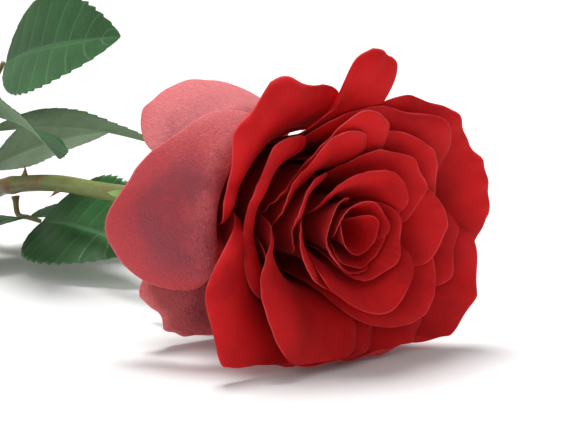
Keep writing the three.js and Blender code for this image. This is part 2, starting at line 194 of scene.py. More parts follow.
class Shop:
    """Makes one material's nodes."""

    def __init__(self, name):
        self.material = bpy.data.materials.new(name)
        self.material.use_nodes = True
        self.tree = self.material.node_tree
        self.tree.nodes.clear()

    def node(self, kind, settings=None, inputs=None, out=0):
        """A node of a kind: its settings first, then its sockets' values or links."""
        made = self.tree.nodes.new(kind)
        for key, value in (settings or {}).items():
            setattr(made, key, value)
        for key, value in (inputs or {}).items():
            if isinstance(value, Wire):
                self.tree.links.new(value.socket, made.inputs[key])
            elif isinstance(value, tuple) and len(value) == 3 and made.inputs[key].type == "RGBA":
                made.inputs[key].default_value = (*value, 1)
            else:
                made.inputs[key].default_value = value
        return Wire(self, made.outputs[out])

    def attribute(self, name):
        return self.node("ShaderNodeAttribute", {"attribute_name": name}, out="Fac")

    def part(self, vector, axis):
        return self.node("ShaderNodeSeparateXYZ", inputs={0: vector}, out="XYZ".index(axis))

    def vector(self, x, y, z=0.0):
        return self.node("ShaderNodeCombineXYZ", inputs={0: x, 1: y, 2: z})

    def noise(self, vector, scale, detail=2.0, rough=0.5, distortion=0.0):
        sockets = {"Vector": vector, "Scale": scale, "Detail": detail, "Roughness": rough,
                   "Distortion": distortion}
        return self.node("ShaderNodeTexNoise", inputs=sockets)

    def ease(self, x, low, high):
        settings = {"interpolation_type": "SMOOTHSTEP"}
        return self.node("ShaderNodeMapRange", settings, {0: x, 1: low, 2: high, 3: 0.0, 4: 1.0})

    def blend(self, factor, a, b):
        return self.node("ShaderNodeMix", {"data_type": "RGBA"}, {0: factor, 6: a, 7: b}, out=2)

    def bump(self, height, distance, strength=1.0):
        return self.node("ShaderNodeBump", inputs={"Height": height, "Distance": distance,
                                                   "Strength": strength})

    def finish(self, **sockets):
        """The surface shader, its sockets named with _ for spaces, and the output."""
        inputs = {key.replace("_", " "): value for key, value in sockets.items()}
        shader = self.node("ShaderNodeBsdfPrincipled", inputs=inputs)
        output = self.tree.nodes.new("ShaderNodeOutputMaterial")
        self.tree.links.new(shader.socket, output.inputs["Surface"])
        return self.material


# ---------------------------------------------------------------- settings
class RosePetalSettings(bpy.types.PropertyGroup):
    """Sizes and colours of the petals."""
    thickness: FloatProperty(name="Petal thickness", description="Thickness of a petal above its claw, mm",
                             default=0.38, min=0.1, max=0.6)
    ruffle: FloatProperty(name="Ruffle", description="Height of the waves along a petal's rim, mm",
                          default=1.1, min=0.0, max=3.0)
    uneven: FloatProperty(name="Uneven rim", description="How far the rim goes in and out, mm",
                          default=1.1, min=0.0, max=3.0)
    lip: FloatProperty(name="Lip", description="How far the very rim curls outwards",
                       default=radians(32), subtype="ANGLE", unit="ROTATION")
    face: FloatVectorProperty(name="Petal face", description="Velvety inner side", subtype="COLOR",
                              default=(0.60, 0.008, 0.010), min=0, max=1)
    # The deep petal colour below mottles the face and flecks its velvet; on the back it is painted shade
    # near the claw, deep in the bloom.
    shade: FloatVectorProperty(name="Petal, deep", description="Deepest red, near the claw",
                               subtype="COLOR", default=(0.36, 0.003, 0.005), min=0, max=1)
    back: FloatVectorProperty(name="Petal back", description="Satin outer side", subtype="COLOR",
                              default=(0.60, 0.022, 0.028), min=0, max=1)
    # The rim colour below is a painted highlight: the thin light line along the rims of petals and guard
    # petals.
    rim: FloatVectorProperty(name="Petal rim", description="Thin light line along the rim",
                             subtype="COLOR", default=(0.80, 0.14, 0.14), min=0, max=1)
    guard: FloatVectorProperty(name="Guard petal", description="Red of the guard petals low down",
                               subtype="COLOR", default=(0.52, 0.035, 0.045), min=0, max=1)
    # The purple-red guard colour below is the crinkled grain, and also painted shade on the guards' lower
    # parts and backs.
    dusk: FloatVectorProperty(name="Guard petal, worn", description="Purple-red of the crinkled grain",
                              subtype="COLOR", default=(0.26, 0.035, 0.055), min=0, max=1)
    # The pale guard colour below is a painted sheen: salmon pink on the guards' high parts, near their
    # claws and in fine flecks.
    sheen_salmon: FloatVectorProperty(name="Guard petal, pale", description="Salmon pink of the high parts",
                               subtype="COLOR", default=(0.74, 0.17, 0.18), min=0, max=1)


class RoseGreenSettings(bpy.types.PropertyGroup):
    """Colours of the stem, hip, sepals and leaves."""
    stem: FloatVectorProperty(name="Stem", description="Olive green of the stem", subtype="COLOR",
                              default=(0.16, 0.19, 0.05), min=0, max=1)
    flush: FloatVectorProperty(name="Stem flush", description="Red-brown of the stem's sunny side",
                               subtype="COLOR", default=(0.22, 0.07, 0.03), min=0, max=1)
    sepal: FloatVectorProperty(name="Sepal", description="Light green of sepals and hip",
                               subtype="COLOR", default=(0.20, 0.34, 0.08), min=0, max=1)
    leaf: FloatVectorProperty(name="Leaf", description="Dark waxy upper side", subtype="COLOR",
                              default=(0.022, 0.085, 0.022), min=0, max=1)
    under: FloatVectorProperty(name="Leaf underside", description="Pale matt lower side",
                               subtype="COLOR", default=(0.20, 0.30, 0.17), min=0, max=1)


class RoseStageSettings(bpy.types.PropertyGroup):
    """Camera, light and table."""
    azimuth: FloatProperty(name="Camera azimuth", description="Turn of the camera round the rose",
                           default=radians(50), subtype="ANGLE", unit="ROTATION")
    elevation: FloatProperty(name="Camera elevation", description="Height of the camera's line of sight",
                             default=radians(10), subtype="ANGLE", unit="ROTATION")
    distance: FloatProperty(name="Camera distance", description="From the heart of the bloom",
                            default=0.4, min=0.1, subtype="DISTANCE", unit="LENGTH")
    lens: FloatProperty(name="Lens", description="Focal length in millimetres", default=95.0, min=20)
    table: FloatVectorProperty(name="Table", description="Pale table top", subtype="COLOR",
                               default=(0.86, 0.85, 0.85), min=0, max=1)


# ---------------------------------------------------------------- the bloom's shape
SEAT_INNER = 2.0                           # radius at which the heart petal starts
SEAT_OUTER = HIP_RADIUS + 3 * GAP          # radius at which the outside petals start
SEAT_STEP = 4.0                            # the heart starts this much higher
OPEN_AT = -80.0                            # side to which the bloom has opened most, degrees
OPEN_MORE = 0.7                            # how much more it has opened there
SOFT_HEIGHT, REST_HEIGHT = 7.0, 0.5        # petals are squeezed gently between these heights
ROUND_OFF = 0.45                           # share of its length that a petal loses at its corners
LIP_WIDTH = 4.0                            # width of the curl along the rim
ROLL_WIDTH, ROLL_TAIL = 9, 3               # a roll starts this far before the rim, full this far after
PETAL_STEPS = 84                           # rows of a petal's mesh from seat to rim
NECK_AT = 0.8                              # where the curled petal narrows, as a share of its length

# at: middle of the petal round the bloom's axis, in degrees (0 is up, 90 is +Y); half: half its
# width there; claw: the same at the seat; layer: 0 for the heart to 1 for the outside; rim:
# lengths from one edge to the other; roll: how far the last ROLL_WIDTH turns outwards, in degrees,
# from edge to edge; fold: how far it folds back, and between which lengths; sway: how far its end
# leans round the axis; neck: how much it narrows before its end; wave: how ruffled it is, more on
# the outer layers where it is left out.
PETALS = {
    "petal_heart_1": dict(at=150, half=170, claw=170, layer=[0.02, 0.04, 0.075],
        rim=[56, 50, 48, 50, 55], roll=[2, 2]),
    "petal_heart_2": dict(at=10, half=120, claw=80, layer=[0.115, 0.115], rim=[54, 50, 50, 51, 55],
        roll=[4, 4]),
    "petal_heart_3": dict(at=160, half=110, claw=75, layer=[0.158, 0.158],
        rim=[53, 49, 49, 50, 54]),
    "petal_heart_4": dict(at=-110, half=110, claw=70, layer=[0.198, 0.198],
        rim=[53, 50, 51, 50, 54]),
    "petal_heart_5": dict(at=125, half=100, claw=60, layer=[0.235, 0.235], rim=[52, 52, 53, 52, 52],
        roll=[6, 6]),
    "petal_inner_1": dict(at=15, half=85, claw=50, layer=[0.29, 0.29], rim=[44, 53, 57, 55, 46],
        roll=[12, 12]),
    "petal_inner_2": dict(at=165, half=90, claw=50, layer=[0.34, 0.34], rim=[42, 55, 60, 55, 44],
        roll=[18, 18]),
    "petal_inner_3": dict(at=-125, half=72, claw=45, layer=[0.4, 0.4], rim=[40, 48, 50, 48, 42],
        roll=[10, 10]),
    "petal_inner_4": dict(at=-70, half=65, claw=42, layer=[0.45, 0.45], rim=[36, 42, 47, 50, 44],
        roll=[10, 10]),
    "petal_inner_5": dict(at=45, half=60, claw=40, layer=[0.491, 0.491], rim=[44, 54, 58, 54, 44],
        roll=[15, 15]),
    "petal_middle_1": dict(at=90, half=55, claw=36, layer=[0.545, 0.545], rim=[44, 56, 60, 56, 44],
        roll=[15, 15]),
    "petal_middle_2": dict(at=-40, half=62, claw=38, layer=[0.56, 0.56], rim=[34, 42, 50, 58, 52],
        roll=[15, 15]),
    "petal_middle_3": dict(at=140, half=58, claw=34, layer=[0.6, 0.6], rim=[44, 58, 62, 56, 44],
        roll=[20, 20]),
    "petal_middle_4": dict(at=-25, half=60, claw=35, layer=[0.61, 0.61], rim=[34, 41, 51, 62, 54],
        roll=[20, 20]),
    "petal_middle_5": dict(at=50, half=52, claw=33, layer=[0.675, 0.675], rim=[44, 56, 60, 56, 44],
        roll=[15, 15]),
    "petal_middle_6": dict(at=-135, half=62, claw=34, layer=[0.675, 0.675],
        rim=[50, 64, 66, 54, 42], roll=[16, 16, 6, -8]),
    "petal_middle_7": dict(at=-152, half=60, claw=33, layer=[0.73, 0.73], rim=[48, 62, 67, 56, 42],
        roll=[20, 20, 10, -10]),
    "petal_middle_8": dict(at=105, half=45, claw=32, layer=[0.762, 0.762], rim=[44, 58, 62, 58, 44],
        roll=[15, 15]),
    "petal_outer_1": dict(at=-74, half=60, claw=30, layer=[0.795, 0.795],
        rim=[54, 52, 46, 47, 50, 54, 52], roll=[60, 66, 40, 30, 20]),
    "petal_outer_2": dict(at=30, half=52, claw=30, layer=[0.844, 0.844],
        rim=[40, 48, 53, 58, 64, 62, 48], roll=[20, 20, 8]),
    "petal_outer_3": dict(at=168, half=50, claw=30, layer=[0.806, 0.806], rim=[44, 62, 66, 62, 44],
        roll=[20, 20]),
    "petal_outer_4": dict(at=125, half=47, claw=26, layer=[0.892, 0.892], rim=[46, 66, 70, 66, 46],
        roll=[14, 14]),
    "petal_outer_5": dict(at=-128, half=50, claw=28, layer=[0.91, 0.91], rim=[48, 66, 70, 62, 44],
        roll=[30, 30, 60]),
    "petal_curl": dict(at=-4, half=15, claw=12, layer=[0.905, 0.905], rim=[62, 68, 69, 67, 60],
        roll=[50, 45, 70], sway=16, neck=0.6, wave=0.5),
    "petal_outer_6": dict(at=74, half=56, claw=56, layer=[0.973, 0.973], rim=[62, 66, 69, 66, 46],
        roll=[20, 20]),
    "petal_outer_7": dict(at=-38, half=51, claw=51, layer=[0.99, 0.99],
        rim=[43, 46, 50, 57, 61, 62, 57, 57, 50], roll=[45, 50, 45, 15]),
}
GUARDS = {
    "petal_guard_1": dict(at=-57, half=46, claw=28, layer=[1.06, 1.06], rim=[68, 72, 65, 56, 52],
        fold=(130, 33, 45), sway=-14, wave=0.5),
    "petal_guard_2": dict(at=-16, half=44, claw=22, layer=[1.15, 1.15], rim=[40, 46, 45, 40, 35],
        fold=(145, 12, 27), wave=0.6),
    "petal_guard_3": dict(at=112, half=52, claw=26, layer=[1.1, 1.1], rim=[50, 58, 60, 57, 50],
        fold=(112, 24, 40)),
    "petal_guard_4": dict(at=-128, half=44, claw=24, layer=[1.22, 1.22], rim=[34, 38, 37, 31, 26],
        fold=(75, 10, 30)),
}


def slope(petal, layer, phi, roll, s, end, lip):
    """Angle from the bloom's axis in degrees at arc length s: nearly level at the seat, upright in
    the cup, opening again towards the rim, most on the side OPEN_AT. roll, fold and the lip, a
    narrow curl of the rim itself, add to it."""
    bowl, level, upright = 5 + 25 * layer, 30 + 62 * layer, -3 + 13 * layer
    facing = 0.5 + 0.5 * np.cos(np.radians(phi - OPEN_AT))
    opening = (12 + 34 * layer) * (1 + OPEN_MORE * facing) * (0.2 if "fold" in petal else 1)
    reach = 50 + 16 * layer
    angle = upright + (level - upright) * (1 - np.clip(s / bowl, 0, 1)) ** 1.6
    angle = angle + opening * smooth(0.45 * reach, reach, s)
    angle = angle + roll * smooth(end - ROLL_WIDTH, end + ROLL_TAIL, s)
    if "fold" in petal:
        turn, start, stop = petal["fold"]
        angle = angle + turn * smooth(start, stop, s)
    return angle + lip * smooth(end - LIP_WIDTH, end + 1, s)


def rest(z):
    """Heights near the table are squeezed together so that nothing goes under it."""
    low = z + AXIS_HEIGHT - REST_HEIGHT
    squeezed = SOFT_HEIGHT * np.exp((np.minimum(low, SOFT_HEIGHT) - SOFT_HEIGHT) / SOFT_HEIGHT)
    return np.where(low < SOFT_HEIGHT, squeezed, low) - AXIS_HEIGHT + REST_HEIGHT


def petal_points(name, petal, u, v):
    """Middle surface of a petal, the arc lengths up it and its length. Going up it, steps of arc
    length are added up along slope() to a radius and a height, which are turned round the axis by
    the petal's own angle. Its corners are rounded, its rim is uneven with a few peaks and curls,
    and waves that grow towards the rim push it along its normal, more on the outer petals."""
    rng = np.random.default_rng(sum(map(ord, name)))
    layer = along(petal["layer"], u)
    free = petal.get("wave", 0.3 + 1.2 * petal["layer"][0])
    settings = bpy.context.scene.rose_petals
    body = np.sqrt(1 - np.abs(u) ** 5)
    peaks = 0.5 - 1.2 * np.abs(waves(rng, u, 2, 4, 10))
    end = along(petal["rim"], u) + free * settings.uneven * (waves(rng, u, 4, 5, 14) + peaks)
    end = end * mix(1 - ROUND_OFF, 1, body)
    roll = along(petal.get("roll", [0, 0]), u) * body
    s = v * end
    half = mix(min(petal["claw"], petal["half"]), petal["half"], smooth(0, 0.45, v))
    half = half * (1 - petal.get("neck", 0) * np.exp(-((v - NECK_AT) / 0.07) ** 2))
    phi = petal["at"] + half * u + petal.get("sway", 0) * smooth(0.6, 1, v)
    lip = settings.lip * free * (0.5 + 0.7 * waves(rng, u, 3, 2, 6))
    angle = np.radians(slope(petal, layer, phi, roll, s, end, np.degrees(lip) * body))
    step = np.diff(s, axis=1)
    middle = (angle[:, 1:] + angle[:, :-1]) / 2
    start = np.zeros((len(s), 1))
    r = mix(SEAT_INNER, SEAT_OUTER, layer) + np.hstack([start, np.cumsum(np.sin(middle) * step, 1)])
    h = SEAT_STEP * (1 - layer) + np.hstack([start, np.cumsum(np.cos(middle) * step, 1)])
    turn = np.radians(phi)
    points = np.stack([h, r * np.sin(turn), rest(r * np.cos(turn))], -1)
    wave = waves(rng, u, 4, 3, 12) * smooth(0.6, 1, v) ** 1.5 + 0.35 * waves(rng, u + v, 3, 3, 7) * v
    crimp = 0.22 * waves(rng, u * petal["half"] / 9, 3, 3, 7) * smooth(0.88, 1, v)
    return points + normals(points) * (settings.ruffle * free * (wave + crimp))[..., None], s, end


def make_petal(name, petal, material):
    """One petal, its side, place and distance from the rim kept for its material."""
    u, v = grid(int(44 + petal["half"] / 2), PETAL_STEPS)
    points, s, end = petal_points(name, petal, u, v)
    thickness = bpy.context.scene.rose_petals.thickness
    thick = thickness * mix(0.35, 1, smooth(0, 0.4, v)) * mix(1, 0.55, smooth(0.9, 1, v))
    solid, faces, side = shell(points, thick)
    across = np.linalg.norm(np.diff(points, axis=0, prepend=points[:1]), axis=-1).cumsum(0)
    edge = np.minimum(end - s, np.minimum(across, across[-1:] - across) + 40 * (1 - smooth(0.5, 0.9, v)))
    uv = np.stack([u / 2 + 0.5, v], -1).reshape(-1, 2)
    twice = lambda a: np.tile(np.ravel(a), 2)
    attributes = {"side": side, "edge": twice(edge), "up": twice(s),
                  "across": twice(across - across.mean(0)),
                  "turned": np.full(len(solid), (sum(map(ord, name)) * 0.618) % 1.0)}
    return piece("rose_" + name, solid, faces, material, [name], attributes, np.tile(uv, (2, 1)))


# ---------------------------------------------------------------- petal materials
def petal_material(name, face, deep, back, rim):
    """Velvety face and back with fine veins that fan out along the petal, painted shade that keeps the
    back deep red near the claw, a satin gloss on the back and a painted highlight: a thin light line along
    the rim."""
    shop = Shop(name)
    side, edge = shop.attribute("side"), shop.attribute("edge")
    up, across = shop.attribute("up"), shop.attribute("across")
    flow = shop.vector(across * 0.8, up * 0.06, shop.attribute("turned") * 40)
    veins = shop.noise(flow, 1.0, 4, 0.6, 0.3)
    place = shop.node("ShaderNodeTexCoord", out=3)
    cloud = shop.noise(place, 70, 3, 0.55)
    velvet = shop.noise(place, 2400, 2, 0.7)
    outside = shop.ease(side, 0.3, 0.7)
    inner = shop.blend(shop.ease(cloud * 0.8 + veins * 0.12, 0.2, 0.6), deep, face)
    # Painted shade: the back stays deep red for its first 18 to 46 mm from the claw, where it lies deep in
    # the bloom, and turns to its own colour towards the rim.
    high = shop.ease(up, 18, 46)
    outer = shop.blend(high * shop.ease(cloud * 0.7 + veins * 0.3, 0.2, 0.7), deep, back)
    colour = shop.blend(outside, inner, outer)
    colour = shop.blend(shop.ease(velvet, 0.35, 0.7) * 0.18, colour, deep)
    # Painted highlight: a thin light line along the rim, uneven in strength.
    colour = shop.blend(shop.ease(edge, 0.45, 0.05) * shop.ease(cloud, 0.35, 0.65) * 0.4, colour, rim)
    return shop.finish(Base_Color=colour, Roughness=0.62 + velvet * 0.12, IOR=1.36,
                       Specular_IOR_Level=0.3, Coat_Weight=outside * 0.32, Coat_Roughness=0.42,
                       Normal=shop.bump(veins * 0.5 + velvet * 0.4, 0.00010, 0.5), Sheen_Weight=0.05,
                       Sheen_Roughness=0.35, Sheen_Tint=(1.0, 0.35, 0.35), Subsurface_Weight=0.12,
                       Subsurface_Radius=(1.0, 0.15, 0.12), Subsurface_Scale=0.0015)


def guard_material(name, face, dusk, sheen_salmon, rim):
    """Guard petal: painted sheen of salmon pink where it is high and near its claw, redder lower down
    with a crinkled purple-red patch away from its rim, part grain and part painted shade, dusky on its
    back, part painted shade, and a painted highlight: a thin light line along the rim."""
    shop = Shop(name)
    side, edge = shop.attribute("side"), shop.attribute("edge")
    up, across = shop.attribute("up"), shop.attribute("across")
    place = shop.node("ShaderNodeTexCoord", out=3)
    flow = shop.vector(across * 0.7, up * 0.12, shop.attribute("turned") * 40)
    veins = shop.noise(flow, 1.0, 4, 0.65, 0.8)
    cloud = shop.noise(place, 45, 4, 0.6)
    crinkle = shop.noise(place, 800, 4, 0.65, 1.6)
    fleck = shop.noise(place, 2600, 2, 0.7)
    # Painted sheen: salmon pink where the guard stands higher than 52 to 74 mm above the table, and on its
    # first 36 to 50 mm from the claw; red elsewhere.
    tall = shop.part(place, "Z")
    low = 1 - shop.ease(tall, 0.052, 0.074)
    colour = shop.blend(low * shop.ease(up, 36, 50), sheen_salmon, face)
    # Partly painted shade: the dusky patch away from the rim and the crinkled grain below take the
    # purple-red only on the lower parts, where the guard faces down; the grain itself is the petal's own.
    grain_and_shade = shop.ease(cloud * 0.9 + crinkle * 0.25, 0.42, 0.66) * shop.ease(edge, 3, 14)
    colour = shop.blend(grain_and_shade * low * 0.85, colour, dusk)
    colour = shop.blend(shop.ease(crinkle, 0.4, 0.7) * low * 0.3, colour, dusk)
    # Painted sheen: fine salmon flecks over the velvet.
    colour = shop.blend(shop.ease(fleck, 0.5, 0.75) * 0.14, colour, sheen_salmon)
    colour = shop.blend(shop.ease(veins, 0.55, 0.8) * 0.2, colour, dusk)
    # Partly painted shade: the back turns purple-red, for the back's own darker tone and for the shade
    # under the guards.
    colour = shop.blend(shop.ease(side, 0.3, 0.7) * 0.85, colour, dusk)
    # Painted highlight: a thin light line along the rim.
    colour = shop.blend(shop.ease(edge, 0.8, 0.1) * 0.5, colour, rim)
    return shop.finish(Base_Color=colour, Roughness=0.55 + crinkle * 0.15, IOR=1.4, Sheen_Weight=0.12,
                       Sheen_Roughness=0.5, Sheen_Tint=(1.0, 0.7, 0.7), Subsurface_Weight=0.1,
                       Subsurface_Radius=(1.0, 0.3, 0.25), Subsurface_Scale=0.0015,
                       Normal=shop.bump(crinkle + veins * 0.3 + fleck * 0.25, 0.0006, 0.9))


class RosePetals(bpy.types.Operator):
    """Make the petals of the cup, from the heart outwards"""
    bl_idname = "rose.petals"
    bl_label = "Petals"

    def execute(self, context):
        look = context.scene.rose_petals
        red = petal_material("petal red", tuple(look.face), tuple(look.shade), tuple(look.back),
                             tuple(look.rim))
        for name, petal in PETALS.items():
            make_petal(name, petal, red)
        return {"FINISHED"}


class RoseGuards(bpy.types.Operator):
    """Make the guard petals that have folded back over the hip"""
    bl_idname = "rose.guards"
    bl_label = "Guard petals"

    def execute(self, context):
        look = context.scene.rose_petals
        dusty = guard_material("guard petal pink", tuple(look.guard), tuple(look.dusk),
                               tuple(look.sheen_salmon), tuple(look.rim))
        for name, petal in GUARDS.items():
            make_petal(name, petal, dusty)
        return {"FINISHED"}


# ---------------------------------------------------------------- hip and sepals
SEPALS_AT = [-20, -82, -145, 142, 62]
SEPAL_LENGTH, SEPAL_WIDTH = 32, 6.5
SEPAL_TURN = (112, 150)                    # angle from the axis at its base and at its tip


def make_hip(material):
    """A smooth outline turned about the bloom's axis, with faint ribs under the sepals."""
    share = np.array([1, 1, 0.93, 0.82, 0.66, 0.45, 0.27, 0.12, 0.04])
    radius = np.array([0.02, 2.75, 3.0, 4.3, 5.6, 6.4, 6.6, 6.3, 5.6]) / 6.6 * HIP_RADIUS
    u = np.linspace(-1, 1, 60)
    h, r = -along(share, u) * HIP_LENGTH, along(radius, u)
    turn = np.linspace(0, 2 * pi, 72, endpoint=False)
    r = r[:, None] * (1 + 0.015 * np.cos(5 * turn + 1) * smooth(0.2, 1, r / HIP_RADIUS)[:, None])
    rings = np.stack([np.broadcast_to(h[:, None], r.shape), r * np.sin(turn), r * np.cos(turn)], -1)
    points, faces = skin(rings)
    return piece("rose_hip", points, faces, material, ["hip"])


def make_sepal(index, at, material):
    """A tapering blade that leaves the hip's shoulder and bends back along an arc, its edges
    curled a little, with small lobes on its flanks."""
    u, v = grid(14, 60)
    angle = np.radians(mix(SEPAL_TURN[0], SEPAL_TURN[1], v / 2))
    s = v * SEPAL_LENGTH
    r = HIP_RADIUS + GAP + 0.6 + np.sin(angle) * s
    h = -0.3 * HIP_LENGTH + np.cos(angle) * s
    lobes = 0.25 * np.maximum(np.sin(19 * v + index), 0) ** 3 * smooth(0.1, 0.3, v)
    half = SEPAL_WIDTH / 2 * (1 - v) ** 0.7 * (0.8 + 0.9 * v + lobes) + 0.12
    turn = radians(at)
    across = half * u
    lift = 0.5 * np.sin(pi * v + index) * v
    points = np.stack([h + 0.12 * across * u + lift, r * sin(turn) + across * cos(turn),
                       r * cos(turn) - across * sin(turn)], -1)
    solid, faces, side = shell(points, 0.45 * mix(1, 0.5, v))
    uv = np.tile(np.stack([u / 2 + 0.5, v], -1).reshape(-1, 2), (2, 1))
    node = f"sepal_{index + 1}"
    return piece("rose_" + node, solid, faces, material, [node], {"side": side}, uv)


def sepal_material(colour, pale):
    """Matt light green, downy, with faint lengthwise ribs."""
    shop = Shop("sepal green")
    place = shop.node("ShaderNodeTexCoord", out=3)
    ribs = shop.noise(shop.node("ShaderNodeMapping", inputs={0: place, 3: (120.0, 900.0, 900.0)}), 1.0, 3)
    cloud = shop.noise(place, 180, 3, 0.6)
    down = shop.noise(place, 2600, 2, 0.7)
    tone = shop.blend(shop.ease(cloud * 0.6 + ribs * 0.4, 0.35, 0.7), colour, pale)
    tone = shop.blend(shop.ease(down, 0.55, 0.75) * 0.4, tone, pale)
    return shop.finish(Base_Color=tone, Roughness=0.55 + down * 0.2, IOR=1.4, Sheen_Weight=0.3,
                       Normal=shop.bump(ribs + down * 0.6, 0.00015, 0.6))


# ---------------------------------------------------------------- stem and leaf stalks
STEM_RADIUS, STEM_END_RADIUS = 2.7, 3.2
STEM_SHAPE = [(0, 0, 0), (0.13, 0.5, -0.07), (0.3, 0, -0.13), (0.48, 1.5, -0.18), (0.63, 0, -0.31),
              (0.8, 2, -0.58)]
PRICKLES = [(0.1, 150), (0.21, -35), (0.32, 95), (0.44, -130), (0.57, 20), (0.78, 140), (0.91, -60)]
PRICKLE_HEIGHT, PRICKLE_RADIUS = 5, 2
STALK_RADIUS, STALK_TIP_RADIUS = 1.1, 0.8


def curve_through(points, count):
    """Even steps along a smooth curve through points (Catmull-Rom whose knots are spaced by the
    square root of each span), with its tangents."""
    p = np.asarray(points, float)
    p = np.vstack([2 * p[0] - p[1], p, 2 * p[-1] - p[-2]])
    knots = np.concatenate([[0], np.cumsum(np.linalg.norm(np.diff(p, axis=0), axis=1) ** 0.5)])
    t = np.linspace(knots[1], knots[-2], 2000)
    i = np.clip(np.searchsorted(knots, t, side="right") - 1, 1, len(p) - 3)
    k = [knots[i + n - 1][:, None] for n in range(4)]
    q = [p[i + n - 1] for n in range(4)]
    t = t[:, None]
    lerp = lambda a, b, m, n: (a * (k[n] - t) + b * (t - k[m])) / (k[n] - k[m])
    a = [lerp(q[n], q[n + 1], n, n + 1) for n in range(3)]
    b = [lerp(a[n], a[n + 1], n, n + 2) for n in range(2)]
    dense = lerp(b[0], b[1], 1, 2)
    length = np.concatenate([[0], np.cumsum(np.linalg.norm(np.diff(dense, axis=0), axis=1))])
    even = np.linspace(0, length[-1], count)
    path = np.stack([np.interp(even, length, dense[:, axis]) for axis in range(3)], -1)
    return path, unit(np.gradient(path, axis=0))


def stem_path(count):
    """The stem's middle line from the hip to the cut, whose end rests on the table."""
    first = HIP_LENGTH + GAP
    points = [(-mix(first, STEM_LENGTH, share), y, fall * AXIS_HEIGHT) for share, y, fall in STEM_SHAPE]
    points.append((-STEM_LENGTH, -2, -AXIS_HEIGHT + STEM_END_RADIUS))
    return curve_through(points, count)


def sweep(path, tangents, radius, around):
    """Rings of a round section carried along a path; radius is a grid, ring by angle."""
    up = unit(np.cross(tangents, np.array([0.0, 1.0, 0.0])))
    side = np.cross(up, tangents)
    turn = np.linspace(0, 2 * pi, around, endpoint=False)
    out = up[:, None] * np.cos(turn)[:, None] + side[:, None] * np.sin(turn)[:, None]
    return path[:, None] + out * radius[..., None]


def joined(parts):
    """Several (points, faces) meshes as one."""
    points, faces, first = [], [], 0
    for more, sides in parts:
        points.append(more)
        faces += [[corner + first for corner in side] for side in sides]
        first += len(more)
    return np.concatenate(points), faces


def prickle(base, out, back):
    """A flattened hook: an oval that shrinks from a broad foot to a point, bending backwards."""
    v = np.linspace(0, 1, 18)[:, None, None]
    turn = np.linspace(0, 2 * pi, 20, endpoint=False)[None, :, None]
    side = np.cross(out, back)
    size = PRICKLE_RADIUS * (1 - v) ** 1.25 * (1 + 0.5 * (1 - v) ** 6) + 0.05
    rings = (base + out * (v * PRICKLE_HEIGHT - 1.0) + back * (1.6 * v ** 2)
             + size * (1.25 * np.cos(turn) * back + 0.5 * np.sin(turn) * side))
    return skin(rings)


def make_stem(material):
    """Round tube that widens a little at each joint of a leaf and at the cut, with prickles."""
    path, tangents = stem_path(260)
    share = np.linspace(0, 1, len(path))[:, None]
    turn = np.linspace(0, 2 * pi, 40, endpoint=False)
    radius = mix(STEM_RADIUS, STEM_END_RADIUS, share) * (1 + 0.012 * np.cos(3 * turn + 9 * share))
    for leaf in LEAVES.values():
        radius = radius * (1 + 0.13 * np.exp(-((share - leaf["from"][0]) * STEM_LENGTH / 4) ** 2))
    parts = [skin(sweep(path, tangents, radius, 40))]
    for place, around in PRICKLES:
        i = int(place * (len(path) - 1))
        out = np.array([0, sin(radians(around)), cos(radians(around))])
        out = unit(out - tangents[i] * (out @ tangents[i]))
        parts.append(prickle(path[i] + out * radius[i, 0], out, tangents[i]))
    points, faces = joined(parts)
    thorn = np.zeros(len(points))
    first = len(parts[0][0])
    for more, _ in parts[1:]:
        thorn[first:first + len(more)] = smooth(1.2, 4.2, np.linalg.norm(more - more[:20].mean(0), axis=1))
        first += len(more)
    return piece("rose_stem", points, faces, material, ["stem"], {"thorn": thorn})


def stem_material(colour, flush):
    """Smooth green skin with fine lengthwise streaks, flushed red-brown in patches, pale dots, and
    red-brown prickles that fade into the green at their feet."""
    shop = Shop("stem green")
    place = shop.node("ShaderNodeTexCoord", out=3)
    drawn = shop.node("ShaderNodeMapping", inputs={0: place, 3: (40.0, 1400.0, 1400.0)})
    streaks = shop.noise(drawn, 1.0, 4)
    cloud = shop.noise(place, 45, 4, 0.6)
    dots = shop.noise(place, 900, 1, 0.4)
    tone = shop.blend(shop.ease(streaks, 0.3, 0.7) * 0.5, colour, tuple(1.5 * c for c in colour))
    tone = shop.blend(shop.ease(cloud + streaks * 0.2, 0.52, 0.78), tone, flush)
    tone = shop.blend(shop.ease(dots, 0.68, 0.78) * 0.5, tone, (0.45, 0.42, 0.24))
    thorn = shop.attribute("thorn")
    tone = shop.blend(shop.ease(thorn, 0.0, 0.6), tone, (0.26, 0.06, 0.035))
    return shop.finish(Base_Color=tone, Roughness=0.36 + cloud * 0.2, IOR=1.45, Coat_Weight=0.12,
                       Normal=shop.bump(streaks + dots * 0.4, 0.0001, 0.5))


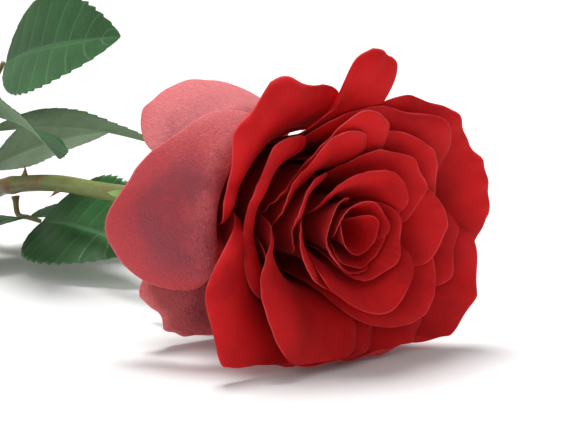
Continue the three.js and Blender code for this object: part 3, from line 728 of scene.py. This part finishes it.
# ---------------------------------------------------------------- leaves
# from: where the leaf leaves the stem (share of its length, angle round it). stalk: its further
# points. leaflets, from the tip backwards: place on the stalk, tip, half width, upward side, arch.
# Points are [along the stem, sideways] from where it leaves, and the height above the table.
LEAVES = {
    "upper": {
        "from": (0.665, -60),
        "stalk": [(8, -7, 40.5), (20, -12, 58.5), (34, -13, 71.5)],
        "leaflets": [
            (1, (96, -3, 82.5), 18, (0.12, -0.8, 0.4), 3),
            (0.55, (83, -19, 43.5), 13, (-0.3, 0.55, 0.75), 3),
            (0.4, (50, 40, 40.5), 14, (-0.3, 0.1, 0.9), 4),
            (0.25, (31, -52, 49.5), 13, (0, 0.3, 0.9), 4),
            (0.12, (6, 46, 41.5), 14, (-0.6, 0.35, 0.6), 3),
        ],
    },
    "lower": {
        "from": (0.605, 165),
        "stalk": [(2, 1, 14.5), (8, 2, 14), (15, 3, 13.5)],
        "leaflets": [
            (1, (82, 6, 12.5), 21, (0.05, -0.6, 0.75), 3),
            (0.6, (28, -51, 3.5), 15, (0, -0.15, 0.95), 4),
            (0.55, (26, 53, 3.5), 16, (0, 0.1, 0.95), 4),
        ],
    },
    "rear": {
        "from": (0.825, -95),
        "stalk": [(9, -17, 18.5), (21, -29, 15.5), (32, -39, 10.5)],
        "leaflets": [
            (1, (58, -78, 3.5), 15, (0, 0.1, 0.95), 4),
            (0.75, (51, -21, 4.5), 12, (0, 0, 1), 3),
            (0.7, (11, -75, 3.5), 13, (0, 0.1, 1), 4),
            (0.3, (-17, -49, 4.5), 12, (0, 0, 1), 3),
        ],
    },
}
LEAF_FOLD = 0.22                           # how far a leaflet's halves fold up from its midrib
TEETH = 17                                 # on each edge of a leaflet
VEINS = 8                                  # on each side of a midrib


def leaf_path(leaf):
    """The stalk's middle line, with its first point just off the stem's skin."""
    path, _ = stem_path(400)
    share, around = leaf["from"]
    centre = path[int(round(share * (len(path) - 1)))]
    out = np.array([0, sin(radians(around)), cos(radians(around))])
    start = centre + out * (mix(STEM_RADIUS, STEM_END_RADIUS, share) + STALK_RADIUS + GAP)
    place = lambda p: (centre[0] + p[0], centre[1] + p[1], p[2] - AXIS_HEIGHT)
    return [start, *map(place, leaf["stalk"])], place


def leaflet_points(base, tip, half, up, arch, u, v, rng):
    """Blade of a leaflet: a midrib arched from base to tip, a width that swells from a round base
    and narrows to a point, saw teeth on the edge, halves folded up from the midrib, and skin
    that puffs between veins running out at a slant."""
    chord = tip - base
    across = unit(np.cross(up, chord))
    lift = unit(np.cross(chord, across))
    body = np.sin(pi * np.clip(v, 0, 1) ** 0.82) ** 0.8
    tooth = (TEETH * v) % 1.0
    saw = tooth * (1 - smooth(0.8, 1.0, tooth))
    width = half * body * (1 + 0.07 * (saw - 0.4) * np.abs(u) ** 6) + 0.2
    slanted = v * VEINS - 0.9 * np.abs(u) ** 1.2
    puff = 0.5 - np.abs((slanted % 1.0) - 0.5)
    relief = 0.9 * np.sqrt(np.maximum(puff, 0)) * smooth(0.03, 0.25, np.abs(u)) * (1 - 0.6 * u ** 2)
    relief = relief - 0.7 * np.exp(-(u * width / 0.8) ** 2)
    wavy = 0.9 * waves(rng, v * 6 + u, 3, 1, 3) * np.abs(u) ** 2
    rise = arch * np.sin(pi * v) + LEAF_FOLD * np.abs(u) * width + (0.45 * relief + wavy) * body
    bent = v + 0.03 * (saw - 0.4) * np.abs(u) ** 6 * body
    return base + chord * bent[..., None] + lift * rise[..., None] + across * (u * width)[..., None]


def make_leaf(name, leaf, stalk_material, blade_material):
    """A leaf's stalk and its leaflets."""
    points, place = leaf_path(leaf)
    path, tangents = curve_through(points, 90)
    share = np.linspace(0, 1, len(path))[:, None]
    radius = mix(STALK_RADIUS, STALK_TIP_RADIUS, share) + np.zeros((1, 16))
    radius = radius + 0.5 * np.exp(-(share * 14) ** 2)
    rings = sweep(path, tangents, radius, 16)
    solid, faces = skin(rings)
    piece(f"rose_leafstalk_{name}", solid, faces, stalk_material, [f"leafstalk_{name}"])
    for i, (where, end, half, up, arch) in enumerate(leaf["leaflets"]):
        foot = path[int(round(where * (len(path) - 1)))]
        tip = np.array(place(end))
        base = foot + unit(tip - foot) * (STALK_RADIUS + GAP + 0.6)
        rng = np.random.default_rng(100 + sum(map(ord, name)) + i)
        u, v = grid(44, 150)
        middle = leaflet_points(base, tip, half, np.array(up, float), arch, u, v, rng)
        middle[..., 2] = np.maximum(middle[..., 2], 0.4 - AXIS_HEIGHT)
        blade, sides, side = shell(middle, np.full(u.shape, 0.32))
        uv = np.tile(np.stack([u / 2 + 0.5, v], -1).reshape(-1, 2), (2, 1))
        attributes = {"side": side, "u": np.tile(u.ravel(), 2), "v": np.tile(v.ravel(), 2)}
        node = f"leaflet_{name}_{i + 1}"
        piece("rose_" + node, blade, sides, blade_material, [node], attributes, uv)


def leaf_material(colour, under):
    """Waxy dark upper side with lighter midrib and slanted veins, pale matt underside, and a
    lighter toothed margin."""
    shop = Shop("leaf green")
    side, u, v = shop.attribute("side"), shop.attribute("u"), shop.attribute("v")
    place = shop.node("ShaderNodeTexCoord", out=3)
    far = shop.node("ShaderNodeMath", {"operation": "ABSOLUTE"}, {0: u})
    slanted = v * VEINS - far ** 1.2 * 0.9
    phase = shop.node("ShaderNodeMath", {"operation": "FRACT"}, {0: slanted})
    gap = shop.node("ShaderNodeMath", {"operation": "ABSOLUTE"}, {0: phase - 0.5})
    vein = shop.ease(gap, 0.42, 0.5) * 0.7
    midrib = shop.ease(far, 0.07, 0.02)
    net = shop.node("ShaderNodeTexVoronoi", {"feature": "DISTANCE_TO_EDGE"},
                    {"Vector": place, "Scale": 700.0})
    mesh = shop.ease(net, 0.12, 0.0)
    cloud = shop.noise(place, 70, 4, 0.6)
    lines = shop.node("ShaderNodeMath", {"operation": "MAXIMUM"}, {0: vein, 1: midrib})
    bright = tuple(min(1, 2.6 * c + 0.03) for c in colour)
    top = shop.blend(shop.ease(cloud, 0.35, 0.7) * 0.6, colour, tuple(1.7 * c for c in colour))
    top = shop.blend(lines * 0.55 + mesh * 0.12, top, bright)
    low = shop.blend(lines * 0.5 + mesh * 0.25, under, tuple(1.35 * c for c in under))
    low = shop.blend(shop.ease(cloud, 0.3, 0.75) * 0.4, low, tuple(0.7 * c for c in under))
    tone = shop.blend(side, low, top)
    tone = shop.blend(shop.ease(far, 0.93, 1.0) * 0.35, tone, bright)
    rough = shop.ease(side, 0.4, 0.6) * -0.28 + 0.62 + cloud * 0.12
    height = (1 - lines * 0.8) + (1 - mesh) * 0.25 + cloud * 0.3
    return shop.finish(Base_Color=tone, Roughness=rough, IOR=1.45, Subsurface_Weight=0.08,
                       Subsurface_Radius=(0.3, 1.0, 0.2), Subsurface_Scale=0.0008,
                       Normal=shop.bump(height, 0.0002, 0.6))


class RoseHip(bpy.types.Operator):
    """Make the hip and its five sepals"""
    bl_idname = "rose.hip"
    bl_label = "Hip and sepals"

    def execute(self, context):
        colour = tuple(context.scene.rose_greens.sepal)
        green = sepal_material(colour, tuple(min(1, 1.5 * c + 0.05) for c in colour))
        make_hip(green)
        for index, at in enumerate(SEPALS_AT):
            make_sepal(index, at, green)
        return {"FINISHED"}


class RoseStem(bpy.types.Operator):
    """Make the stem with its prickles"""
    bl_idname = "rose.stem"
    bl_label = "Stem"

    def execute(self, context):
        look = context.scene.rose_greens
        make_stem(stem_material(tuple(look.stem), tuple(look.flush)))
        return {"FINISHED"}


class RoseLeaves(bpy.types.Operator):
    """Make the three leaves: stalks and toothed leaflets"""
    bl_idname = "rose.leaves"
    bl_label = "Leaves"

    def execute(self, context):
        look = context.scene.rose_greens
        stalk = stem_material(tuple(look.stem), tuple(look.flush))
        blade = leaf_material(tuple(look.leaf), tuple(look.under))
        for name, leaf in LEAVES.items():
            make_leaf(name, leaf, stalk, blade)
        return {"FINISHED"}


# ---------------------------------------------------------------- stage
HEART = 50                                 # the heart's tip is this far in front of the seat, mm
AIM = (-19.0, 4.3)                         # middle of the view from the heart's tip, right and up, mm
KEY = ((-0.30, 0.10, 0.95), 3.3, radians(24))      # towards the lamp, strength, width
FILL = ((0.25, -0.85, 0.45), 0.55, radians(60))
ROOM_LIGHT = 0.44                          # strength of the white surroundings
TABLE_SIDE = 8                             # metres


def soft_sun(name, toward, strength, width):
    """A distant lamp with soft shadows, shining from a direction."""
    lamp = bpy.data.lights.new(name, "SUN")
    lamp.energy, lamp.angle = strength, width
    item = bpy.data.objects.new(name, lamp)
    item.rotation_euler = Vector(toward).to_track_quat("Z", "Y").to_euler()
    bpy.context.scene.collection.objects.link(item)
    return item


class RoseStage(bpy.types.Operator):
    """Make the table, the lights, the white surroundings and the camera"""
    bl_idname = "rose.stage"
    bl_label = "Stage"

    def execute(self, context):
        scene, look = context.scene, context.scene.rose_stage
        bpy.ops.mesh.primitive_plane_add(size=TABLE_SIDE, location=(0, 0, 0))
        table = bpy.context.object
        table.name = "table"
        shop = Shop("pale table")
        place = shop.node("ShaderNodeTexCoord", out=3)
        mottle = shop.noise(place, 9, 3)
        tone = shop.blend(mottle, tuple(look.table), tuple(0.97 * c for c in look.table))
        table.data.materials.append(shop.finish(Base_Color=tone, Roughness=0.5, IOR=1.45,
                                                Specular_IOR_Level=0.25))

        heart = SEAT + Vector((HEART * MM, 0, 0))
        soft_sun("key", *KEY)
        soft_sun("fill", *FILL)

        world = bpy.data.worlds.new("white room")
        scene.world = world
        world.use_nodes = True
        world.node_tree.nodes["Background"].inputs[0].default_value = (1, 1, 1, 1)
        world.node_tree.nodes["Background"].inputs[1].default_value = ROOM_LIGHT

        a, e = look.azimuth, look.elevation
        back = Vector((sin(a) * cos(e), -cos(a) * cos(e), sin(e)))
        right = Vector((cos(a), sin(a), 0))
        aim = heart + right * AIM[0] * MM + back.cross(right) * AIM[1] * MM
        camera = bpy.data.objects.new("camera", bpy.data.cameras.new("camera"))
        camera.location = heart + back * look.distance
        camera.rotation_euler = (camera.location - aim).to_track_quat("Z", "Y").to_euler()
        camera.data.lens, camera.data.sensor_width = look.lens, 36
        camera.data.clip_start, camera.data.clip_end = 0.01, 20
        scene.collection.objects.link(camera)
        scene.camera = camera
        scene.view_settings.view_transform = "Standard"
        return {"FINISHED"}


class RosePanel(bpy.types.Panel):
    """Lists the rose's pieces and settings"""
    bl_idname = "VIEW3D_PT_rose"
    bl_label = "Cut rose"
    bl_space_type = "VIEW_3D"
    bl_region_type = "UI"
    bl_category = "Rose"

    def draw(self, context):
        for operator in OPERATORS:
            self.layout.operator(operator.bl_idname)
        for group in SETTINGS:
            for key in SETTINGS[group].__annotations__:
                self.layout.prop(getattr(context.scene, group), key)


OPERATORS = [RoseHip, RoseStem, RoseLeaves, RoseGuards, RosePetals, RoseStage]
SETTINGS = {"rose_petals": RosePetalSettings, "rose_greens": RoseGreenSettings,
            "rose_stage": RoseStageSettings}


def register():
    for kind in (*SETTINGS.values(), *OPERATORS, RosePanel):
        bpy.utils.register_class(kind)
    for name, kind in SETTINGS.items():
        setattr(bpy.types.Scene, name, PointerProperty(type=kind))


def unregister():
    for name in SETTINGS:
        delattr(bpy.types.Scene, name)
    for kind in reversed((*SETTINGS.values(), *OPERATORS, RosePanel)):
        bpy.utils.unregister_class(kind)


def main():
    """Registers the add-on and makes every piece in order."""
    register()
    bpy.ops.rose.hip()
    bpy.ops.rose.stem()
    bpy.ops.rose.leaves()
    bpy.ops.rose.guards()
    bpy.ops.rose.petals()
    bpy.ops.rose.stage()


if __name__ == "__main__":
    main()
